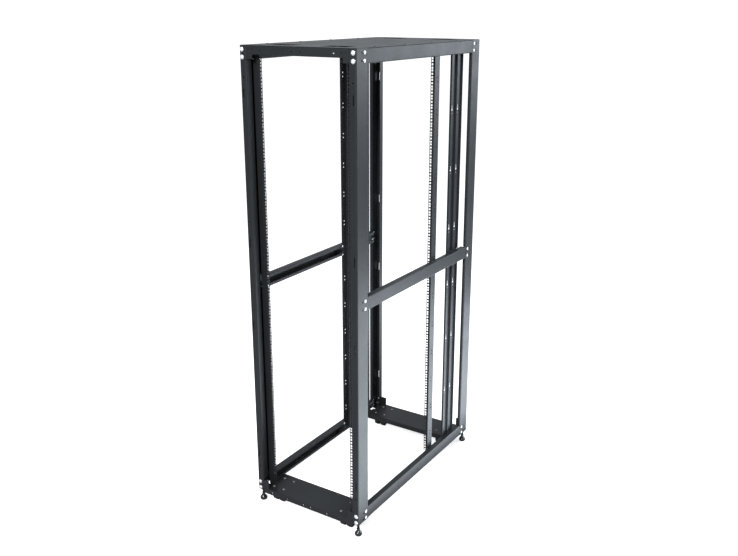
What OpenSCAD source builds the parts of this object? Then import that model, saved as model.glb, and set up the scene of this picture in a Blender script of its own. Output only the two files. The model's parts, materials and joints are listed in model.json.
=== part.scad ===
// Open four-post network rack cabinet frame, 48 rack units, on levelling feet and casters.
// Millimetres, +Z up, front towards -Y. The origin is on the floor under the middle of the frame.

/* [Frame] */
// Width of the frame over its corner posts
frame_w = 610; // [600:1:800]
// Depth of the frame over its corner posts
frame_d = 1130; // [1080:1:1300]
// Height of the rack in rack units of 44.45 mm
rack_units = 48; // [42:2:48]
// Height of the frame's lower edge over the floor
ground_gap = 65; // [62:1:72]

/* [Sheet metal] */
// Thickness of the folded sheet
sheet = 2; // [1.5:0.5:2]
// Outside radius of the corner posts' folds
post_fold_r = 6; // [4:1:8]
// Width of a post's end face, across the rack
post_face = 36; // [34:1:40]
// Width of a post's side face, along the rack
post_side = 86; // [80:1:92]
// Height of the side rails
rail_h = 62; // [56:1:66]

/* [Equipment rails] */
// Distance from the frame's front to the front rails' mounting face
front_setback = 50; // [45:1:90]
// Distance from the frame's front to the rear rails' mounting face
rear_setback = 769; // [700:1:790]
// Width of each leg of a rail
rack_rail_leg = 50; // [44:1:54]

/* [Power strip channels] */
// Distance from the frame's front to the first channel
channel_start = 876; // [870:1:890]
// Width of one channel
channel_w = 58; // [50:1:60]

/* [Feet and casters] */
// Diameter of the levelling studs
stud_d = 12; // [10:1:12]
// Diameter of the foot pads
pad_d = 36; // [30:1:40]
// Diameter of the caster wheels
wheel_d = 50; // [46:1:52]

/* [Hidden] */
$fn = 48;

// Rack standard: hole rhythm inside one unit, square hole size and column spacing
unit = 44.45;
unit_holes = [6.35, 22.225, 38.1];
square_hole = 9.5;
column_x = 465.1 / 2;
opening_x = 225;

// Heights over the frame's lower edge
tray_top = 14;
unit_base = tray_top + 2;
unit_top = unit_base + rack_units * unit;
top_lip_h = 38;
frame_h = unit_top + top_lip_h + 2;
post_h = frame_h - sheet;
rail_z = [0, post_h / 2 - rail_h / 2 - 5, post_h - rail_h];
bolt_rise = [for (r = [[-18.5, 14.5], [-19.5, 17.5], [-18.5, 14.5]]) [for (v = r) rail_h / 2 + v]];
function bolt_levels(rows) = [for (i = rows, b = bolt_rise[i]) rail_z[i] + b];

// Plan positions
half_w = frame_w / 2;
half_d = frame_d / 2;
rail_depth = 31;
inner_x = half_w - rail_depth;
post_inner_x = half_w - post_face;
slit = 1;
front_slit = 0.4;
rear_slit = 2;
eps = 0.5;

// Corner posts
post_lip = 34;
post_return = 16;
end_bolt_x = 14;
side_bolt_y = 64;
side_hole_y = 43;
bolt_hole_r = 4.5;
bay_hole_r = 4.5;
slot_h = 44;
slot_w = 6;
slot_z = [post_h / 2 - 888, post_h / 2 - 203, post_h / 2 + 203, post_h / 2 + 888];
notch_h = rail_h + 2;

// Side rails
rail_fold_r = 4;
rail_lip = 15;
tab_h = 52;
tab_start = 34;
tab_lap = 28;
rail_end = [post_side + front_slit, frame_d - post_side - rear_slit];
rail_hole_y = [364, 558, 752];

// Top rails and base trays
channel_flange = 38;
top_lip_hole_x = [22, 195, 236, 255];
top_lip_hole_d = 8;
tray_depth = 166;
tray_lip = 26;
tray_hole_x = [21, 120, 215];
end_tab_reach = 30;

// Top panel
panel_corner_r = 9;
cutout = [140, 90];
cutout_r = 12;
cutout_x = 145;
cutout_y = 105;
panel_screw_x = 20;
panel_screw_y = [168, 414, 660, 906];

// Equipment rails
rack_rail_z = [unit_base - 1, post_h - 22];
rack_rail_fold_r = 4;
pair_pitch = 3.5 * unit;
pair_gap = 20;
pair_r = 4;
pair_count = 6;

// Power strip channels
channel_gap = 2;
channel_flange_h = 11;
keyhole_pitch = 305;
keyhole_r = 6.5;
keyhole_slot = 7;
keyhole_slot_h = 20;
keyhole_pin_drop = 18;
channel_starts = [channel_start, channel_start + channel_w + channel_gap];

// Screws through the rails and channels into the side rails' lips
lip_screw_z = [rail_z[0] + rail_h - 7, rail_z[1] + 7, rail_z[1] + rail_h - 7, rail_z[2] + 7];
rail_screw_d = 6;
rail_screw_inset = 6;

// Levelling feet
foot_xy = [15, 20];
foot_travel_clear = 0.05;
stud_top = 45;
pad_h = 28;
bracket_t = 5;
bush_h = 22;
bush_d = 20;
nut_h = 8;

// Casters
caster_xy = [half_w - 206, 84];
caster_bolt = [60, 85];
caster_plate = [80, 106, 3];
caster_trail = 28;
wheel_w = 24;
wheel_gap = 14;
wheel_lift = 4;
axle_z = -ground_gap + wheel_lift + wheel_d / 2;
axle_r = 5;
kingpin_r = 8;
running = 0.06;
plate_under = tray_top - sheet;
race_h = 6;
fork_top = plate_under - caster_plate[2] - race_h - 0.4;
fork_disc_h = 5;

steel_black = [0.16, 0.17, 0.18];
steel_dark = [0.1, 0.1, 0.11];
zinc = [0.75, 0.76, 0.78];
rubber_black = [0.06, 0.06, 0.06];

function units_z() = [for (u = [0 : rack_units - 1], h = unit_holes) unit_base + u * unit + h];

// ---------------------------------------------------------------- placing
// Corner frame: +X points inwards from the outer side face, +Y inwards from the outer end face.
module at_corner(side, end) {
    translate([side * half_w, end * half_d, ground_gap])
        mirror([side > 0 ? 1 : 0, 0, 0]) mirror([0, end > 0 ? 1 : 0, 0]) children();
}

// Side frame: +X points inwards from the outer side face, +Y backwards from the frame's front.
module at_side(side) {
    translate([side * half_w, -half_d, ground_gap]) mirror([side > 0 ? 1 : 0, 0, 0]) children();
}

// End frame: +X to the right, +Y inwards from the outer end face.
module at_end(end) {
    translate([0, end * half_d, ground_gap]) mirror([0, end > 0 ? 1 : 0, 0]) children();
}

module both_ways() {
    children();
    mirror([1, 0, 0]) children();
}

module on_all_corners() {
    for (side = [-1, 1], end = [-1, 1]) at_corner(side, end) children();
}

// ---------------------------------------------------------------- shapes
module rounded_rect(size, r) {
    translate([r, 0]) square([size[0] - 2 * r, size[1]]);
    translate([0, r]) square([size[0], size[1] - 2 * r]);
    for (x = [r, size[0] - r], y = [r, size[1] - r]) translate([x, y]) circle(r);
}

// Closed folded ring, from which the sections are cut open
module folded_ring(size, r) {
    difference() {
        rounded_rect(size, r);
        translate([sheet, sheet]) rounded_rect([size[0] - 2 * sheet, size[1] - 2 * sheet], r - sheet);
    }
}

module slot(length, width, depth) {
    cube([width, length - width, depth], center = true);
    for (s = [-1, 1]) translate([0, s * (length - width) / 2, 0])
        cylinder(h = depth, d = width, center = true);
}

module drill_x(d, depth) { rotate([0, 90, 0]) cylinder(h = depth, d = d, center = true); }
module drill_y(d, depth) { rotate([90, 0, 0]) cylinder(h = depth, d = d, center = true); }

// Low domed bolt head with its shank pointing along -Z
module domed_bolt(head_d, head_h, shank_d, shank_l, socket) {
    difference() {
        union() {
            cylinder(h = head_h * 0.4, d = head_d);
            translate([0, 0, head_h * 0.4]) cylinder(h = head_h * 0.35, d1 = head_d, d2 = head_d * 0.82);
            translate([0, 0, head_h * 0.75])
                cylinder(h = head_h * 0.25, d1 = head_d * 0.82, d2 = head_d * 0.5);
            translate([0, 0, -shank_l]) cylinder(h = shank_l + 0.01, d = shank_d);
        }
        translate([0, 0, head_h - socket * 0.45]) cylinder(h = socket, d = socket, $fn = 6);
    }
}

module hex_nut(flats, h, bore_r) {
    difference() {
        cylinder(h = h, d = flats / cos(30), $fn = 6);
        translate([0, 0, -1]) cylinder(h = h + 2, r = bore_r);
    }
}

// ---------------------------------------------------------------- corner posts
module post_section() {
    difference() {
        folded_ring([post_face, post_side], post_fold_r);
        translate([post_return, post_lip]) square([post_face, post_side]);
    }
}

module corner_post() {
    difference() {
        union() {
            linear_extrude(post_h) post_section();
            // The side face runs on flat to the side rails
            for (z = rail_z) translate([0, post_side - post_fold_r, z]) cube([sheet, post_fold_r, rail_h]);
        }
        for (z = bolt_levels([0, 1, 2])) {
            translate([0, side_bolt_y, z]) drill_x(bolt_hole_r * 2, 3 * sheet);
            translate([0, side_hole_y, z]) drill_x(bay_hole_r * 2, 3 * sheet);
        }
        for (z = bolt_levels([0, 2])) translate([end_bolt_x, 0, z]) drill_y(bolt_hole_r * 2, 3 * sheet);
        for (z = slot_z) translate([end_bolt_x, 0, z]) rotate([90, 0, 0]) slot(slot_h, slot_w, 3 * sheet);
        for (z = [136, post_h - 136]) translate([end_bolt_x + 3, 0, z]) drill_y(8, 3 * sheet);
        // Room for the side rails' tabs behind the side face
        for (z = rail_z) translate([sheet, post_side - post_fold_r - 1, z - 1])
            cube([post_return, post_fold_r + 2, notch_h]);
        // Room for the end rails' tabs behind the end face
        for (z = [-1, post_h - rail_h - 1]) translate([post_face - post_fold_r - 1, sheet, z])
            cube([post_fold_r + 2, post_lip + 1, rail_h + 2]);
    }
}

module front_left_post() { color(steel_black) at_corner(-1, -1) corner_post(); }
module front_right_post() { color(steel_black) at_corner(1, -1) corner_post(); }
module rear_left_post() { color(steel_black) at_corner(-1, 1) corner_post(); }
module rear_right_post() { color(steel_black) at_corner(1, 1) corner_post(); }

// ---------------------------------------------------------------- side rails
module side_rail_section() {
    difference() {
        folded_ring([rail_depth, rail_h], rail_fold_r);
        translate([rail_depth - sheet - eps, rail_lip]) square([sheet + 2 * eps, rail_h - 2 * rail_lip]);
    }
}

module side_rail_tab(y) {
    translate([sheet, y, rail_h / 2 - tab_h / 2])
        cube([sheet, post_side - tab_start + rear_slit + tab_lap, tab_h]);
}

module side_rail(level) {
    length = rail_end[1] - rail_end[0];
    rear_tab_y = frame_d - post_side - rear_slit - tab_lap;
    translate([0, 0, rail_z[level]]) difference() {
        union() {
            translate([0, rail_end[1], 0]) rotate([90, 0, 0]) linear_extrude(length) side_rail_section();
            side_rail_tab(tab_start);
            side_rail_tab(rear_tab_y);
        }
        for (z = bolt_rise[level], y = [side_bolt_y, side_hole_y], end = [0, 1])
            translate([sheet, end ? frame_d - y : y, z]) drill_x(bolt_hole_r * 2, 4 * sheet);
        if (level == 0) for (y = rail_hole_y) translate([0, y, rail_h / 2 - 6]) drill_x(8, 3 * sheet);
        if (level == 2) for (y = panel_screw_y)
            translate([panel_screw_x, y, rail_h]) cylinder(h = 4 * sheet, d = 5.4, center = true);
        // Screw holes in the inner lips
        for (z = lip_screw_z, y = lip_screw_y())
            translate([rail_depth, y, z - rail_z[level]]) drill_x(rail_screw_d + 0.4, 3 * sheet);
    }
}

// Places along the rail where equipment rails and channels are screwed on
function lip_screw_y() = concat(
    [front_setback + rack_rail_leg - rail_screw_inset, rear_setback - rack_rail_leg + rail_screw_inset],
    [for (y = channel_starts) y + channel_w / 2]
);

module left_top_rail() { color(steel_black) at_side(-1) side_rail(2); }
module right_top_rail() { color(steel_black) at_side(1) side_rail(2); }
module left_middle_rail() { color(steel_black) at_side(-1) side_rail(1); }
module right_middle_rail() { color(steel_black) at_side(1) side_rail(1); }
module left_bottom_rail() { color(steel_black) at_side(-1) side_rail(0); }
module right_bottom_rail() { color(steel_black) at_side(1) side_rail(0); }

// ---------------------------------------------------------------- end rails and base trays
// Plate behind the posts' end faces, where the rows' corner bolts go through
module end_tabs(row, z, h) {
    both_ways() difference() {
        translate([post_inner_x - end_tab_reach, sheet, z]) cube([end_tab_reach + post_face - 8, sheet, h]);
        for (b = bolt_levels([row])) translate([half_w - end_bolt_x, sheet, b])
            drill_y(bolt_hole_r * 2, 4 * sheet);
    }
}

// Lying channel: front web, top flange and a short bottom flange
module top_rail() {
    length = 2 * (post_inner_x - slit);
    difference() {
        union() {
            translate([-length / 2, 0, post_h - top_lip_h]) rotate([90, 0, 90]) linear_extrude(length)
                difference() {
                    folded_ring([channel_flange, top_lip_h], rail_fold_r);
                    translate([channel_flange - sheet - eps, -eps])
                        square([sheet + 2 * eps, top_lip_h + 2 * eps]);
                    translate([rail_lip, -eps]) square([channel_flange, sheet + 2 * eps]);
                }
            end_tabs(2, post_h - rail_h + 4, rail_h - 4 - sheet - 4);
        }
        both_ways() for (x = top_lip_hole_x) translate([x, 0, post_h - top_lip_h / 2])
            drill_y(top_lip_hole_d, 3 * sheet);
    }
}

module base_tray() {
    length = 2 * (post_inner_x - slit);
    difference() {
        translate([-length / 2, 0, tray_top - 2 * tray_lip]) rotate([90, 0, 90]) linear_extrude(length)
            difference() {
                folded_ring([tray_depth, 2 * tray_lip], rail_fold_r);
                translate([-eps, -eps]) square([tray_depth + 2 * eps, tray_lip + eps]);
            }
        both_ways() for (x = tray_hole_x) translate([x, 0, tray_top - tray_lip / 2]) drill_y(6, 3 * sheet);
        at_tray_casters() for (x = [-1, 1], y = [-1, 1])
            translate([x * caster_bolt[0] / 2, y * caster_bolt[1] / 2, tray_top])
                cylinder(h = 4 * sheet, d = 8.4, center = true);
    }
}

module at_tray_casters() {
    both_ways() translate([half_w - caster_xy[0], caster_xy[1], 0]) children();
}

module front_top_rail() { color(steel_black) at_end(-1) top_rail(); }
module rear_top_rail() { color(steel_black) at_end(1) top_rail(); }
module front_base_tray() { color(steel_black) at_end(-1) base_tray(); }
module rear_base_tray() { color(steel_black) at_end(1) base_tray(); }

// Plates that stand on the trays' ends and take the lower corner bolts
module base_corner_plates() {
    tray_w = 2 * (post_inner_x - slit);
    color(steel_black) for (end = [-1, 1]) at_end(end) difference() {
        end_tabs(0, 6, 52);
        translate([-tray_w / 2, 0, 0]) cube([tray_w, 3 * sheet, tray_top]);
    }
}

module top_panel() {
    inset = 0.5;
    color(steel_black) translate([-half_w + inset, -half_d + inset, ground_gap + post_h])
        difference() {
            linear_extrude(sheet) difference() {
                rounded_rect([frame_w - 2 * inset, frame_d - 2 * inset], panel_corner_r);
                for (x = [-1, 1], y = [cutout_y, frame_d - cutout_y])
                    translate([half_w + x * cutout_x - cutout[0] / 2, y - cutout[1] / 2])
                        rounded_rect(cutout, cutout_r);
            }
            for (x = [panel_screw_x, frame_w - panel_screw_x], y = panel_screw_y)
                translate([x - inset, y - inset, 0]) cylinder(h = 4 * sheet, d = 5.4, center = true);
        }
}

module top_panel_screws() {
    color(steel_dark) for (side = [-1, 1]) at_side(side) for (y = panel_screw_y)
        translate([panel_screw_x, y, post_h + sheet]) domed_bolt(10, 2.4, 5, 5, 3);
}

// ---------------------------------------------------------------- equipment rails
// Side frame at the mounting face: +X inwards, +Y from the mounting face towards the web's free edge.
module rack_rail() {
    length = rack_rail_z[1] - rack_rail_z[0];
    width = inner_x - opening_x;
    middle = (unit_base + unit_top) / 2;
    difference() {
        translate([rail_depth, 0, rack_rail_z[0]]) linear_extrude(length) difference() {
            folded_ring([width + 20, rack_rail_leg + 20], rack_rail_fold_r);
            translate([width, sheet]) square([30, rack_rail_leg + 30]);
            translate([width, -1]) square([30, 10]);
            translate([-1, rack_rail_leg]) square([width + 30, 30]);
        }
        for (z = units_z()) translate([half_w - column_x, 0, z])
            cube([square_hole, 3 * sheet, square_hole], center = true);
        for (k = [-pair_count : pair_count], s = [-1, 1]) if (k != 0)
            translate([rail_depth, rack_rail_leg / 2, middle + k * pair_pitch + s * pair_gap / 2])
                drill_x(pair_r * 2, 3 * sheet);
        for (z = lip_screw_z)
            translate([rail_depth, rack_rail_leg - rail_screw_inset, z])
                drill_x(rail_screw_d + 0.4, 3 * sheet);
    }
}

module front_rack_rail() { translate([0, front_setback, 0]) rack_rail(); }
module rear_rack_rail() { translate([0, rear_setback, 0]) mirror([0, 1, 0]) rack_rail(); }

module front_left_rack_rail() { color(steel_black) at_side(-1) front_rack_rail(); }
module front_right_rack_rail() { color(steel_black) at_side(1) front_rack_rail(); }
module rear_left_rack_rail() { color(steel_black) at_side(-1) rear_rack_rail(); }
module rear_right_rack_rail() { color(steel_black) at_side(1) rear_rack_rail(); }

// ---------------------------------------------------------------- power strip channels
module keyhole() {
    drill_x(keyhole_r * 2, 4 * sheet);
    translate([0, 0, keyhole_slot_h / 2]) cube([4 * sheet, keyhole_slot, keyhole_slot_h], center = true);
    translate([0, 0, keyhole_slot_h]) drill_x(keyhole_slot, 4 * sheet);
    translate([0, 0, -keyhole_pin_drop]) drill_x(keyhole_slot, 4 * sheet);
}

module power_channel(start) {
    web_x = rail_depth;
    length = rack_rail_z[1] - rack_rail_z[0];
    translate([0, start, 0]) difference() {
        translate([web_x + sheet, 0, rack_rail_z[0]]) mirror([1, 0, 0]) linear_extrude(length) difference() {
            folded_ring([30, channel_w], 3);
            translate([channel_flange_h, -1]) square([30, channel_w + 2]);
        }
        // The flanges stop short of the side rails
        for (z = rail_z) translate([web_x - channel_flange_h, -1, z - 2])
            cube([channel_flange_h, channel_w + 2, rail_h + 4]);
        for (k = [-2.5 : 1 : 2.5]) translate([web_x, channel_w / 2, post_h / 2 + k * keyhole_pitch])
            keyhole();
        for (z = lip_screw_z)
            translate([web_x, channel_w / 2, z]) drill_x(rail_screw_d + 0.4, 6 * sheet);
    }
}

module left_front_power_channel() { color(steel_black) at_side(-1) power_channel(channel_starts[0]); }
module left_rear_power_channel() { color(steel_black) at_side(-1) power_channel(channel_starts[1]); }
module right_front_power_channel() { color(steel_black) at_side(1) power_channel(channel_starts[0]); }
module right_rear_power_channel() { color(steel_black) at_side(1) power_channel(channel_starts[1]); }

// Screws from inside the rack through a rail or channel into the side rails' lips
module lip_screws(y) {
    for (z = lip_screw_z) translate([rail_depth + sheet, y, z])
        rotate([0, 90, 0]) domed_bolt(11, 3, rail_screw_d, 7, 4);
}

module rack_rail_screws() {
    color(zinc) for (side = [-1, 1]) at_side(side) for (i = [0, 1]) lip_screws(lip_screw_y()[i]);
}

module power_channel_screws() {
    color(zinc) for (side = [-1, 1]) at_side(side) for (i = [2, 3]) lip_screws(lip_screw_y()[i]);
}

// ---------------------------------------------------------------- frame bolts
module end_bolts(end) {
    for (side = [-1, 1]) at_corner(side, end) for (z = bolt_levels([0, 2]))
        translate([end_bolt_x, 0, z]) rotate([90, 0, 0]) domed_bolt(18, 5, 8.8, 7, 6);
}

module front_corner_bolts() { color(zinc) end_bolts(-1); }
module rear_corner_bolts() { color(zinc) end_bolts(1); }

module side_rail_bolts() {
    color(zinc) on_all_corners() for (z = bolt_levels([0, 1, 2])) translate([0, side_bolt_y, z])
        rotate([0, -90, 0]) domed_bolt(14, 3, 8.8, 7, 5);
}

// ---------------------------------------------------------------- levelling feet
module foot_bracket() {
    difference() {
        union() {
            translate([sheet, sheet, 0]) linear_extrude(bracket_t) difference() {
                square([post_face - 2 * sheet, 56]);
                difference() {
                    square(post_fold_r - sheet);
                    translate([post_fold_r - sheet, post_fold_r - sheet]) circle(post_fold_r - sheet);
                }
            }
            translate([foot_xy[0], foot_xy[1], 0]) cylinder(h = bush_h, d = bush_d);
        }
        translate([foot_xy[0], foot_xy[1], -1]) cylinder(h = bush_h + 2, r = stud_d / 2 + foot_travel_clear);
    }
}

module foot_stud() {
    translate([foot_xy[0], foot_xy[1], 0]) {
        translate([0, 0, pad_h - 8 - ground_gap])
            cylinder(h = stud_top + ground_gap - pad_h + 6, r = stud_d / 2);
        translate([0, 0, stud_top - 2]) cylinder(h = 2, r1 = stud_d / 2, r2 = stud_d / 2 - 1.5);
    }
}

// Round pad with a rolled foot and a hollow flank that rises to a collar round the stud
module foot_pad() {
    rim = 4;
    rim_arc = [for (a = [-90 : 15 : 90]) [pad_d / 2 - rim + rim * cos(a), rim + rim * sin(a)]];
    collar_r = stud_d / 2 + 2.5;
    flank_r = pad_d / 2 - rim - collar_r;
    flank = [for (a = [0 : 15 : 90])
        [pad_d / 2 - rim - flank_r * sin(a), pad_h - 8 - (pad_h - 8 - 2 * rim) * cos(a)]];
    translate([foot_xy[0], foot_xy[1], -ground_gap]) difference() {
        rotate_extrude() polygon(concat([[0, 0]], rim_arc, flank, [[collar_r, pad_h], [0, pad_h]]));
        translate([0, 0, pad_h - 8]) cylinder(h = 20, r = stud_d / 2);
    }
}

module foot_brackets() { color(steel_black) on_all_corners() foot_bracket(); }
module foot_lock_nuts() {
    color(zinc) on_all_corners() translate([foot_xy[0], foot_xy[1], bush_h])
        hex_nut(18, nut_h, stud_d / 2 + foot_travel_clear);
}
module front_left_foot_stud() { color(steel_dark) at_corner(-1, -1) foot_stud(); }
module front_right_foot_stud() { color(steel_dark) at_corner(1, -1) foot_stud(); }
module rear_left_foot_stud() { color(steel_dark) at_corner(-1, 1) foot_stud(); }
module rear_right_foot_stud() { color(steel_dark) at_corner(1, 1) foot_stud(); }
module front_left_foot_pad() { color(rubber_black) at_corner(-1, -1) foot_pad(); }
module front_right_foot_pad() { color(rubber_black) at_corner(1, -1) foot_pad(); }
module rear_left_foot_pad() { color(rubber_black) at_corner(-1, 1) foot_pad(); }
module rear_right_foot_pad() { color(rubber_black) at_corner(1, 1) foot_pad(); }

// ---------------------------------------------------------------- casters
// Caster frame: origin on the kingpin's axis at the height of the frame's lower edge, front towards -Y.
module at_caster(side, end) {
    translate([side * (half_w - caster_xy[0]), end * (half_d - caster_xy[1]), ground_gap]) children();
}

module on_all_casters() {
    for (side = [-1, 1], end = [-1, 1]) at_caster(side, end) children();
}

module caster_top_plate() {
    plate_z = plate_under - caster_plate[2];
    difference() {
        union() {
            translate([-caster_plate[0] / 2, -caster_plate[1] / 2, plate_z]) linear_extrude(caster_plate[2])
                rounded_rect([caster_plate[0], caster_plate[1]], 8);
            translate([0, 0, plate_z - race_h]) cylinder(h = race_h + 0.01, d1 = 42, d2 = 52);
        }
        for (x = [-1, 1], y = [-1, 1])
            translate([x * caster_bolt[0] / 2, y * caster_bolt[1] / 2, plate_z - 1])
                cylinder(h = caster_plate[2] + 2, d = 8.4);
        translate([0, 0, plate_z - race_h - 1]) cylinder(h = race_h + caster_plate[2] + 2, r = kingpin_r);
    }
}

// Pressed into the plate, with a flanged end under the fork's disc
module kingpin() {
    translate([0, 0, fork_top - fork_disc_h - 0.4])
        cylinder(h = plate_under - fork_top + fork_disc_h + 0.4, r = kingpin_r);
    translate([0, 0, fork_top - fork_disc_h - 2.4]) cylinder(h = 2.01, r = kingpin_r + 3);
}

// Round top disc with a hood that comes down between the two wheels to the axle
module caster_fork() {
    hub_w = wheel_gap - 2;
    difference() {
        union() {
            translate([0, 0, fork_top - fork_disc_h]) cylinder(h = fork_disc_h, d = 44);
            translate([-hub_w / 2, -caster_trail, fork_top - 1]) rotate([0, 90, 0]) linear_extrude(hub_w)
                polygon([[0, -12], [0, caster_trail + 20], [10, caster_trail + 20],
                         [fork_top - axle_z + 8, 10], [fork_top - axle_z + 8, -10], [20, -12]]);
            translate([-hub_w / 2, -caster_trail, axle_z]) rotate([0, 90, 0]) cylinder(h = hub_w, r = 12);
        }
        translate([0, 0, fork_top - 40]) cylinder(h = 60, r = kingpin_r + running);
        translate([0, 0, fork_top - fork_disc_h - 15]) cylinder(h = 15, r = kingpin_r + 4);
        translate([0, -caster_trail, axle_z]) drill_x(axle_r * 2, wheel_gap + 10);
    }
}

module caster_axle() {
    translate([0, -caster_trail, axle_z]) rotate([0, 90, 0])
        cylinder(h = wheel_gap + 2 * wheel_w - 2, r = axle_r, center = true);
}

// Hand 0 is the wheel on the right of the hood, hand 1 the one on the left
module caster_wheel(hand) {
    r = wheel_d / 2;
    inner = [[axle_r + running, 0], [11, 0], [12, 1.5], [r - 6, 1.5],
        [r - 5, 0], [r - 3, 0], [r - 0.8, 1], [r, 3.5]];
    outer = [[r, wheel_w - 3.5], [r - 0.8, wheel_w - 1], [r - 3, wheel_w], [r - 5, wheel_w],
        [r - 6.5, wheel_w - 3], [12, wheel_w - 3], [11, wheel_w], [axle_r + running, wheel_w]];
    mirror([hand, 0, 0]) translate([wheel_gap / 2, -caster_trail, axle_z]) rotate([0, 90, 0])
        rotate_extrude() polygon(concat(inner, outer));
}

module caster_plates() { color(zinc) on_all_casters() caster_top_plate(); }
module caster_kingpins() { color(zinc) on_all_casters() kingpin(); }
module front_left_caster_fork() { color(steel_dark) at_caster(-1, -1) caster_fork(); }
module front_right_caster_fork() { color(steel_dark) at_caster(1, -1) caster_fork(); }
module rear_left_caster_fork() { color(steel_dark) at_caster(-1, 1) caster_fork(); }
module rear_right_caster_fork() { color(steel_dark) at_caster(1, 1) caster_fork(); }
module front_left_caster_axle() { color(zinc) at_caster(-1, -1) caster_axle(); }
module front_right_caster_axle() { color(zinc) at_caster(1, -1) caster_axle(); }
module rear_left_caster_axle() { color(zinc) at_caster(-1, 1) caster_axle(); }
module rear_right_caster_axle() { color(zinc) at_caster(1, 1) caster_axle(); }
module front_left_caster_left_wheel() { color(rubber_black) at_caster(-1, -1) caster_wheel(1); }
module front_right_caster_left_wheel() { color(rubber_black) at_caster(1, -1) caster_wheel(1); }
module rear_left_caster_left_wheel() { color(rubber_black) at_caster(-1, 1) caster_wheel(1); }
module rear_right_caster_left_wheel() { color(rubber_black) at_caster(1, 1) caster_wheel(1); }
module front_left_caster_right_wheel() { color(rubber_black) at_caster(-1, -1) caster_wheel(0); }
module front_right_caster_right_wheel() { color(rubber_black) at_caster(1, -1) caster_wheel(0); }
module rear_left_caster_right_wheel() { color(rubber_black) at_caster(-1, 1) caster_wheel(0); }
module rear_right_caster_right_wheel() { color(rubber_black) at_caster(1, 1) caster_wheel(0); }

module at_caster_bolts() {
    on_all_casters() for (x = [-1, 1], y = [-1, 1])
        translate([x * caster_bolt[0] / 2, y * caster_bolt[1] / 2, 0]) children();
}

module caster_bolts() {
    color(zinc) at_caster_bolts() translate([0, 0, tray_top]) domed_bolt(14, 4, 8, 14, 5);
}

module caster_nuts() {
    color(zinc) at_caster_bolts() translate([0, 0, plate_under - caster_plate[2] - 6]) hex_nut(13, 6, 4);
}

front_left_post();
front_right_post();
rear_left_post();
rear_right_post();
top_panel();
front_top_rail();
rear_top_rail();
left_top_rail();
right_top_rail();
left_middle_rail();
right_middle_rail();
left_bottom_rail();
right_bottom_rail();
front_base_tray();
rear_base_tray();
base_corner_plates();
front_left_rack_rail();
front_right_rack_rail();
rear_left_rack_rail();
rear_right_rack_rail();
left_front_power_channel();
left_rear_power_channel();
right_front_power_channel();
right_rear_power_channel();
foot_brackets();
foot_lock_nuts();
front_left_foot_stud();
front_right_foot_stud();
rear_left_foot_stud();
rear_right_foot_stud();
front_left_foot_pad();
front_right_foot_pad();
rear_left_foot_pad();
rear_right_foot_pad();
caster_plates();
caster_kingpins();
front_left_caster_fork();
front_right_caster_fork();
rear_left_caster_fork();
rear_right_caster_fork();
front_left_caster_axle();
front_right_caster_axle();
rear_left_caster_axle();
rear_right_caster_axle();
front_left_caster_left_wheel();
front_left_caster_right_wheel();
front_right_caster_left_wheel();
front_right_caster_right_wheel();
rear_left_caster_left_wheel();
rear_left_caster_right_wheel();
rear_right_caster_left_wheel();
rear_right_caster_right_wheel();
front_corner_bolts();
rear_corner_bolts();
side_rail_bolts();
top_panel_screws();
rack_rail_screws();
power_channel_screws();
caster_bolts();
caster_nuts();
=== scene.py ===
"""Looks of the open network rack cabinet frame.

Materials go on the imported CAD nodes, and threads, foot bulbs and bolt flanges are added.
A camera, a floor and lights stand round it all.
"""

import json
import math

import bmesh
import bpy
from mathutils import Matrix, Vector


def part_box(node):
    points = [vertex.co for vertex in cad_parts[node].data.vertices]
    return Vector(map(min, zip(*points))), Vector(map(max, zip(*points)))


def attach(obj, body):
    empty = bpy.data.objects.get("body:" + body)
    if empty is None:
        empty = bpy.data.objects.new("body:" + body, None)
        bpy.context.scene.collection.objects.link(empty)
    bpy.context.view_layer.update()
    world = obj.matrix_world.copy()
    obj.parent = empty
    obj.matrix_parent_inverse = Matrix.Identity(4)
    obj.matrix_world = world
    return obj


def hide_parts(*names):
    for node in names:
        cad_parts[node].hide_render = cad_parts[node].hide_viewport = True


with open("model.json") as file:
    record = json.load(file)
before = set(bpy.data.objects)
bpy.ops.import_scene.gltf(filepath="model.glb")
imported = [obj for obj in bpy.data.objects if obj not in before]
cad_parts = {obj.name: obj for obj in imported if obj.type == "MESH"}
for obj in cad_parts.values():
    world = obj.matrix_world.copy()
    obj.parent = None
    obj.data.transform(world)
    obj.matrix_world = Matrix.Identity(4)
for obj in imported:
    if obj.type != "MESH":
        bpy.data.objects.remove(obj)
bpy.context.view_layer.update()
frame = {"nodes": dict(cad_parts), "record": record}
scene = bpy.context.scene

CORNERS = [end + "_" + side for end in ("front", "rear") for side in ("left", "right")]
LOWEST_OF_POSTS, HIGHEST_OF_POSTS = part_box("front_left_post")[0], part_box("rear_right_post")[1]
COOL_WHITE = (0.84, 0.92, 1.0)

# ---------------------------------------------------------------- camera
CAM_AT = Vector((2.2229, -3.4438, 2.4172))
CAM_YAW, CAM_PITCH, CAM_ROLL = math.radians(32.646), math.radians(-16.784), math.radians(-0.02)
CAM_LENS = 41.249
CAM_SHIFT = (-0.00361, -0.0236)
SENSOR_WIDTH = 36


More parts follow.
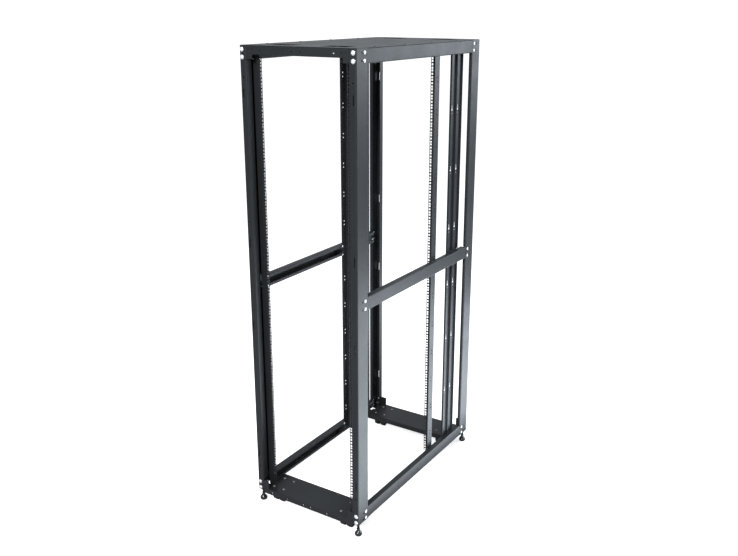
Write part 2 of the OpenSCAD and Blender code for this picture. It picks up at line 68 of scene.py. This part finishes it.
def make_camera():
    level = math.cos(CAM_PITCH)
    ahead = Vector((-math.sin(CAM_YAW) * level, math.cos(CAM_YAW) * level, math.sin(CAM_PITCH)))
    right = Vector((math.cos(CAM_YAW), math.sin(CAM_YAW), 0))
    up = right.cross(ahead)
    turned_right = math.cos(CAM_ROLL) * right + math.sin(CAM_ROLL) * up
    turned_up = -math.sin(CAM_ROLL) * right + math.cos(CAM_ROLL) * up
    data = bpy.data.cameras.new("camera")
    data.lens = CAM_LENS
    data.sensor_width = SENSOR_WIDTH
    data.shift_x, data.shift_y = CAM_SHIFT
    data.clip_start, data.clip_end = 0.05, 100
    cam = bpy.data.objects.new("camera", data)
    aim = Matrix((turned_right, turned_up, -ahead)).transposed().to_4x4()
    cam.matrix_world = Matrix.Translation(CAM_AT) @ aim
    scene.collection.objects.link(cam)
    scene.camera = cam


make_camera()
scene.view_settings.view_transform = "Standard"


# ---------------------------------------------------------------- node helpers
class Nodes:
    """Short names for building one node tree."""

    def __init__(self, tree):
        self.tree = tree

    def add(self, kind, **values):
        node = self.tree.nodes.new("ShaderNode" + kind)
        for key, value in values.items():
            if key in node.inputs:
                node.inputs[key].default_value = value
            else:
                setattr(node, key, value)
        return node

    def link(self, a, b):
        self.tree.links.new(a, b)

    def noise(self, place, scale, detail=4.0, rough=0.55):
        node = self.add("TexNoise", Scale=scale, Detail=detail, Roughness=rough)
        self.link(place, node.inputs["Vector"])
        return node.outputs["Fac"]

    def ramp(self, value, low, high, to_low=0.0, to_high=1.0):
        node = self.add("MapRange")
        node.inputs["From Min"].default_value = low
        node.inputs["From Max"].default_value = high
        node.inputs["To Min"].default_value = to_low
        node.inputs["To Max"].default_value = to_high
        self.link(value, node.inputs["Value"])
        return node.outputs["Result"]

    def mix(self, factor, a, b):
        node = self.add("Mix", data_type="RGBA")
        self.link(factor, node.inputs["Factor"])
        for socket, value in ((node.inputs[6], a), (node.inputs[7], b)):
            if isinstance(value, tuple):
                socket.default_value = (*value, 1.0)
            else:
                self.link(value, socket)
        return node.outputs[2]

    def edges(self, radius):
        """A normal that rounds the sharp edges, and how far it leans from the face."""
        soft = self.add("Bevel", samples=4, Radius=radius).outputs["Normal"]
        lean = self.add("VectorMath", operation="DOT_PRODUCT")
        self.link(soft, lean.inputs[0])
        self.link(self.add("NewGeometry").outputs["Normal"], lean.inputs[1])
        away = self.add("Math", operation="SUBTRACT")
        away.inputs[0].default_value = 1.0
        self.link(lean.outputs["Value"], away.inputs[1])
        return soft, away.outputs[0]

    def bump(self, height, strength, distance, normal=None):
        node = self.add("Bump", Strength=strength, Distance=distance)
        self.link(height, node.inputs["Height"])
        if normal is not None:
            self.link(normal, node.inputs["Normal"])
        return node.outputs["Normal"]


def new_material(name):
    mat = bpy.data.materials.new(name)
    mat.use_nodes = True
    n = Nodes(mat.node_tree)
    shader = mat.node_tree.nodes["Principled BSDF"]
    place = n.add("TexCoord").outputs["Object"]
    return mat, n, shader, place


# ---------------------------------------------------------------- materials
EDGE_RADIUS = 0.0012
RUBBED_TONE = (0.07, 0.073, 0.078)


def powder_coat(name, dark, light, rough, specular):
    """Satin powder coat: fine orange peel, faint cloudy tone, a little dust and rubbed edges."""
    mat, n, sh, place = new_material(name)
    cloud = n.ramp(n.noise(place, 3.0, 3), 0.3, 0.7)
    speck = n.ramp(n.noise(place, 900.0, 2), 0.35, 0.65)
    base = n.mix(cloud, dark, light)
    tone = n.mix(n.ramp(speck, 0, 1, 0.0, 0.35), base, tuple(c * 1.5 for c in light))
    soft, edge = n.edges(EDGE_RADIUS)
    rubbed = n.add("Math", operation="MULTIPLY")
    n.link(n.ramp(edge, 0.02, 0.2, 0.0, 0.7), rubbed.inputs[0])
    n.link(n.ramp(n.noise(place, 60.0, 4), 0.35, 0.6), rubbed.inputs[1])
    n.link(n.mix(rubbed.outputs[0], tone, RUBBED_TONE), sh.inputs["Base Color"])
    smear = n.ramp(n.noise(place, 9.0, 5, 0.6), 0.3, 0.7, rough - 0.04, rough + 0.06)
    n.link(smear, sh.inputs["Roughness"])
    peel = n.noise(place, 420.0, 2)
    n.link(n.bump(peel, 0.25, 0.0004, soft), sh.inputs["Normal"])
    sh.inputs["Specular IOR Level"].default_value = specular
    return mat


def zinc(name, tone, rough, metal):
    """Zinc plate: metal with faint passivation clouds and fine turning marks."""
    mat, n, sh, place = new_material(name)
    cloud = n.ramp(n.noise(place, 90.0, 3), 0.35, 0.65)
    n.link(n.mix(cloud, tone, tuple(c * 0.86 for c in tone)), sh.inputs["Base Color"])
    n.link(n.ramp(n.noise(place, 260.0, 4), 0.3, 0.7, rough - 0.06, rough + 0.1), sh.inputs["Roughness"])
    n.link(n.bump(n.noise(place, 1500.0, 2), 0.15, 0.0002), sh.inputs["Normal"])
    sh.inputs["Metallic"].default_value = metal
    return mat


def blackened(name, tone, rough):
    """Oiled black steel."""
    mat, n, sh, place = new_material(name)
    cloud = n.ramp(n.noise(place, 60.0, 4), 0.3, 0.7)
    n.link(n.mix(cloud, tone, tuple(c * 1.8 for c in tone)), sh.inputs["Base Color"])
    n.link(n.ramp(n.noise(place, 200.0, 3), 0.3, 0.7, rough - 0.05, rough + 0.1), sh.inputs["Roughness"])
    n.link(n.bump(n.noise(place, 900.0, 2), 0.2, 0.0002), sh.inputs["Normal"])
    sh.inputs["Metallic"].default_value = 0.7
    return mat


def moulded(name, tone, rough, grain, coat=0.0):
    """Moulded black plastic with a fine spark-eroded grain and scuffs."""
    mat, n, sh, place = new_material(name)
    scuff = n.ramp(n.noise(place, 45.0, 6, 0.7), 0.52, 0.72, 0.0, 0.6)
    n.link(n.mix(scuff, tone, tuple(c * 2.4 for c in tone)), sh.inputs["Base Color"])
    n.link(n.ramp(n.noise(place, 120.0, 4), 0.3, 0.7, rough - 0.04, rough + 0.1), sh.inputs["Roughness"])
    n.link(n.bump(n.noise(place, 1100.0, 2), grain, 0.0003), sh.inputs["Normal"])
    sh.inputs["Coat Weight"].default_value = coat
    sh.inputs["Coat Roughness"].default_value = 0.08
    return mat


MATERIALS = {
    "black_paint": powder_coat(
        "satin_black_powder_coat", (0.009, 0.010, 0.0115), (0.013, 0.0145, 0.016), rough=0.36, specular=0.34
    ),
    "zinc": zinc("bright_zinc", (0.84, 0.85, 0.87), 0.30, 0.55),
    "black_screws": blackened("black_oxide_screws", (0.02, 0.02, 0.021), 0.35),
    "caster_steel": zinc("caster_zinc", (0.62, 0.63, 0.65), 0.36, 0.9),
    "stud_steel": blackened("black_stud", (0.015, 0.015, 0.016), 0.3),
    "foot_plastic": moulded("glossy_foot_plastic", (0.008, 0.008, 0.009), 0.16, 0.05, 0.6),
    "wheel_plastic": moulded("wheel_nylon", (0.012, 0.012, 0.013), 0.38, 0.2),
    "hood_plastic": moulded("hood_nylon", (0.018, 0.018, 0.019), 0.45, 0.3),
}

slots = {s["node"]: s["material_slot"] for s in frame["record"]["subparts"]}
for node, obj in frame["nodes"].items():
    obj.data.materials.clear()
    obj.data.materials.append(MATERIALS[slots[node]])
dull_zinc = zinc("dull_zinc", (0.24, 0.245, 0.25), 0.48, 0.9)
for node in ("caster_bolts", "caster_nuts", "foot_lock_nuts"):
    frame["nodes"][node].data.materials[0] = dull_zinc


# ---------------------------------------------------------------- extra pieces
def new_piece(name, bm, body, slot_name):
    bmesh.ops.recalc_face_normals(bm, faces=bm.faces)
    mesh = bpy.data.meshes.new(name)
    bm.to_mesh(mesh)
    bm.free()
    obj = bpy.data.objects.new(name, mesh)
    scene.collection.objects.link(obj)
    mesh.materials.append(MATERIALS[slot_name])
    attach(obj, body)
    return obj


def join_rings(bm, low, high):
    """Quads between two rings with the same number of points."""
    for k in range(len(low)):
        after = (k + 1) % len(low)
        bm.faces.new((low[k], low[after], high[after], high[k]))


def lathe(bm, outline, at, axis, steps=32):
    """Turns a closed outline of (radius, height) points round the axis through at."""
    turn = Vector(axis).to_track_quat("Z", "Y").to_matrix()
    rings = []
    spin = [2 * math.pi * k / steps for k in range(steps)]
    for r, h in outline:
        points = [Vector((r * math.cos(a), r * math.sin(a), h)) for a in spin]
        rings.append([bm.verts.new(Vector(at) + turn @ point) for point in points])
    for low, high in zip(rings, rings[1:] + rings[:1]):
        join_rings(bm, low, high)


THREAD_PITCH = 0.00175
THREAD_DEPTH = 0.00095
THREAD_PROFILE = (1.0, 1.0, 0.55, 0.0, 0.0, 0.45)  # height of the ridge along one pitch, 1 at its crest
STUD_CHAMFER = 0.0016
STUD_STEPS = 24


def threaded_stud(corner):
    """Levelling stud with a real helical thread, in place of the CAD's plain shaft."""
    node = corner + "_foot_stud"
    lo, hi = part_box(node)
    x, y = (lo[0] + hi[0]) / 2, (lo[1] + hi[1]) / 2
    crest, per_turn = (hi[0] - lo[0]) / 2, len(THREAD_PROFILE)
    levels = int((hi[2] - lo[2]) / THREAD_PITCH * per_turn)
    bm = bmesh.new()
    rings = []
    for i in range(levels + 1):
        z = lo[2] + (hi[2] - lo[2]) * i / levels
        chamfer = max(0.0, STUD_CHAMFER - (hi[2] - z))
        ring = []
        for k in range(STUD_STEPS):
            phase = (i - per_turn * k / STUD_STEPS) % per_turn
            step = int(phase)
            part = phase - step
            ridge = THREAD_PROFILE[step] * (1 - part) + THREAD_PROFILE[(step + 1) % per_turn] * part
            r = min(crest - THREAD_DEPTH * (1 - ridge), crest - chamfer)
            angle = 2 * math.pi * k / STUD_STEPS
            ring.append(bm.verts.new((x + r * math.cos(angle), y + r * math.sin(angle), z)))
        rings.append(ring)
    for low, high in zip(rings, rings[1:]):
        join_rings(bm, low, high)
    bm.faces.new(list(reversed(rings[0])))
    bm.faces.new(rings[-1])
    obj = new_piece(corner + "_foot_thread", bm, corner + "_foot", "stud_steel")
    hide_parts(node)


def foot_bulb(corner):
    """Glossy moulded foot: a round bulb that necks in to a collar round the stud."""
    node = corner + "_foot_pad"
    lo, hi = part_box(node)
    r = (hi[0] - lo[0]) / 2
    # from the sole up the round side, in to the neck, up the collar and back to the middle
    outline = [(0.0008, 0), (r - 0.0045, 0), (r - 0.0030, 0.0006), (r - 0.0012, 0.0030), (r - 0.0002, 0.0064)]
    outline += [(r, 0.0095), (r - 0.0004, 0.0128), (r - 0.0020, 0.0166), (r - 0.0048, 0.0202)]
    outline += [(r - 0.0080, 0.0232)]
    outline += [(0.0088, 0.0252), (0.0080, 0.0278), (0.0078, 0.0312), (0.0078, 0.0362), (0.0074, 0.0370)]
    outline += [(0.0062, 0.0372), (0.0008, 0.0372)]
    bm = bmesh.new()
    lathe(bm, outline, ((lo[0] + hi[0]) / 2, (lo[1] + hi[1]) / 2, lo[2]), (0, 0, 1), 48)
    for face in bm.faces:
        face.smooth = True
    obj = new_piece(corner + "_foot_bulb", bm, corner + "_foot", "foot_plastic")
    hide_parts(node)


def bolt_heads(node):
    """Boxes of the separate bolts in a node, as (lowest, highest) corners."""
    mesh = frame["nodes"][node].data
    parent = list(range(len(mesh.vertices)))

    def root(i):
        while parent[i] != i:
            parent[i] = parent[parent[i]]
            i = parent[i]
        return i

    for e in mesh.edges:
        a, b = root(e.vertices[0]), root(e.vertices[1])
        if a != b:
            parent[a] = b
    groups = {}
    for v in mesh.vertices:
        groups.setdefault(root(v.index), []).append(v.co)
    for points in groups.values():
        yield (
            Vector([min(p[i] for p in points) for i in range(3)]),
            Vector([max(p[i] for p in points) for i in range(3)]),
        )


def washers(node, axis, flange, thick):
    """Pressed flange round the foot of each bolt head, on the frame's outer faces."""
    half = max(abs(LOWEST_OF_POSTS[axis]), abs(HIGHEST_OF_POSTS[axis]))
    bm = bmesh.new()
    for lo, hi in bolt_heads(node):
        middle = (lo + hi) / 2
        way = 1 if middle[axis] > 0 else -1
        at = middle.copy()
        at[axis] = way * half
        out = Vector((0, 0, 0))
        out[axis] = way
        across = (hi[(axis + 1) % 3] - lo[(axis + 1) % 3]) / 2
        inner, outer = across - 0.0004, across + flange
        ring = [(inner, 0.0001), (outer - 0.0003, 0.0001), (outer, 0.0004), (outer - 0.0002, thick - 0.0002)]
        lathe(bm, ring + [(outer - 0.0007, thick), (inner, thick + 0.0003)], at, out)
    new_piece(node + "_flanges", bm, "frame", "zinc")


for corner in CORNERS:
    threaded_stud(corner)
    foot_bulb(corner)
washers("front_corner_bolts", axis=1, flange=0.0016, thick=0.0013)
washers("rear_corner_bolts", axis=1, flange=0.0016, thick=0.0013)
washers("side_rail_bolts", axis=0, flange=0.0014, thick=0.0011)


# ---------------------------------------------------------------- floor, world and lights
def make_floor():
    """White floor that glows a little for the camera only, and is mid-grey in the paint's reflections."""
    mesh = bpy.data.meshes.new("floor")
    reach = 40.0
    square = [(-reach, -reach, 0), (reach, -reach, 0), (reach, reach, 0), (-reach, reach, 0)]
    mesh.from_pydata(square, [], [(0, 1, 2, 3)])
    floor = bpy.data.objects.new("floor", mesh)
    floor.location.z = -0.0005
    scene.collection.objects.link(floor)
    mat, n, sh, place = new_material("pale_floor")
    mottle = n.ramp(n.noise(place, 1.5, 3), 0.3, 0.7)
    n.link(n.mix(mottle, (0.90, 0.90, 0.90), (0.94, 0.94, 0.94)), sh.inputs["Base Color"])
    sh.inputs["Roughness"].default_value = 0.9
    sh.inputs["Specular IOR Level"].default_value = 0.1
    glow = n.add("Emission", Color=(1, 1, 1, 1), Strength=0.62)
    seen = n.add("AddShader")
    n.link(sh.outputs[0], seen.inputs[0])
    n.link(glow.outputs[0], seen.inputs[1])
    dull = n.add("BsdfDiffuse", Color=(0.42, 0.43, 0.45, 1))
    pick = n.add("MixShader")
    n.link(n.add("LightPath").outputs["Is Camera Ray"], pick.inputs[0])
    n.link(dull.outputs[0], pick.inputs[1])
    n.link(seen.outputs[0], pick.inputs[2])
    n.link(pick.outputs[0], mat.node_tree.nodes["Material Output"].inputs["Surface"])
    mesh.materials.append(mat)


def make_world():
    world = bpy.data.worlds.new("studio")
    scene.world = world
    world.use_nodes = True
    n = Nodes(world.node_tree)
    shade = world.node_tree.nodes["Background"]
    seen = n.add("Background", Color=(1, 1, 1, 1), Strength=1.15)
    shade.inputs["Color"].default_value = (0.90, 0.95, 1.0, 1)
    shade.inputs["Strength"].default_value = 0.55
    pick = n.add("MixShader")
    n.link(n.add("LightPath").outputs["Is Camera Ray"], pick.inputs[0])
    n.link(shade.outputs[0], pick.inputs[1])
    n.link(seen.outputs[0], pick.inputs[2])
    n.link(pick.outputs[0], world.node_tree.nodes["World Output"].inputs["Surface"])


def area_light(name, at, aim, size, power, tint=(1, 1, 1)):
    data = bpy.data.lights.new(name, "AREA")
    data.shape = "RECTANGLE"
    data.size, data.size_y = size
    data.energy = power
    data.color = tint
    lamp = bpy.data.objects.new(name, data)
    lamp.location = at
    lamp.rotation_euler = (Vector(aim) - Vector(at)).to_track_quat("-Z", "Y").to_euler()
    lamp.visible_camera = False
    scene.collection.objects.link(lamp)


make_floor()
make_world()
area_light("key_right_rear", (4.5, 5.5, 3.1), (0, 0, 1.4), (5.0, 3.8), 270, COOL_WHITE)
area_light("floor_bounce", (1.6, 0.9, 0.01), (1.6, 0.9, 3.0), (2.4, 3.6), 120, COOL_WHITE)
area_light("front_fill", (1.4, -6.0, 4.6), (0, 0, 1.1), (1.6, 1.6), 480)
area_light("overhead", (0.5, -0.5, 5.5), (0, 0, 0), (3.0, 3.0), 120)
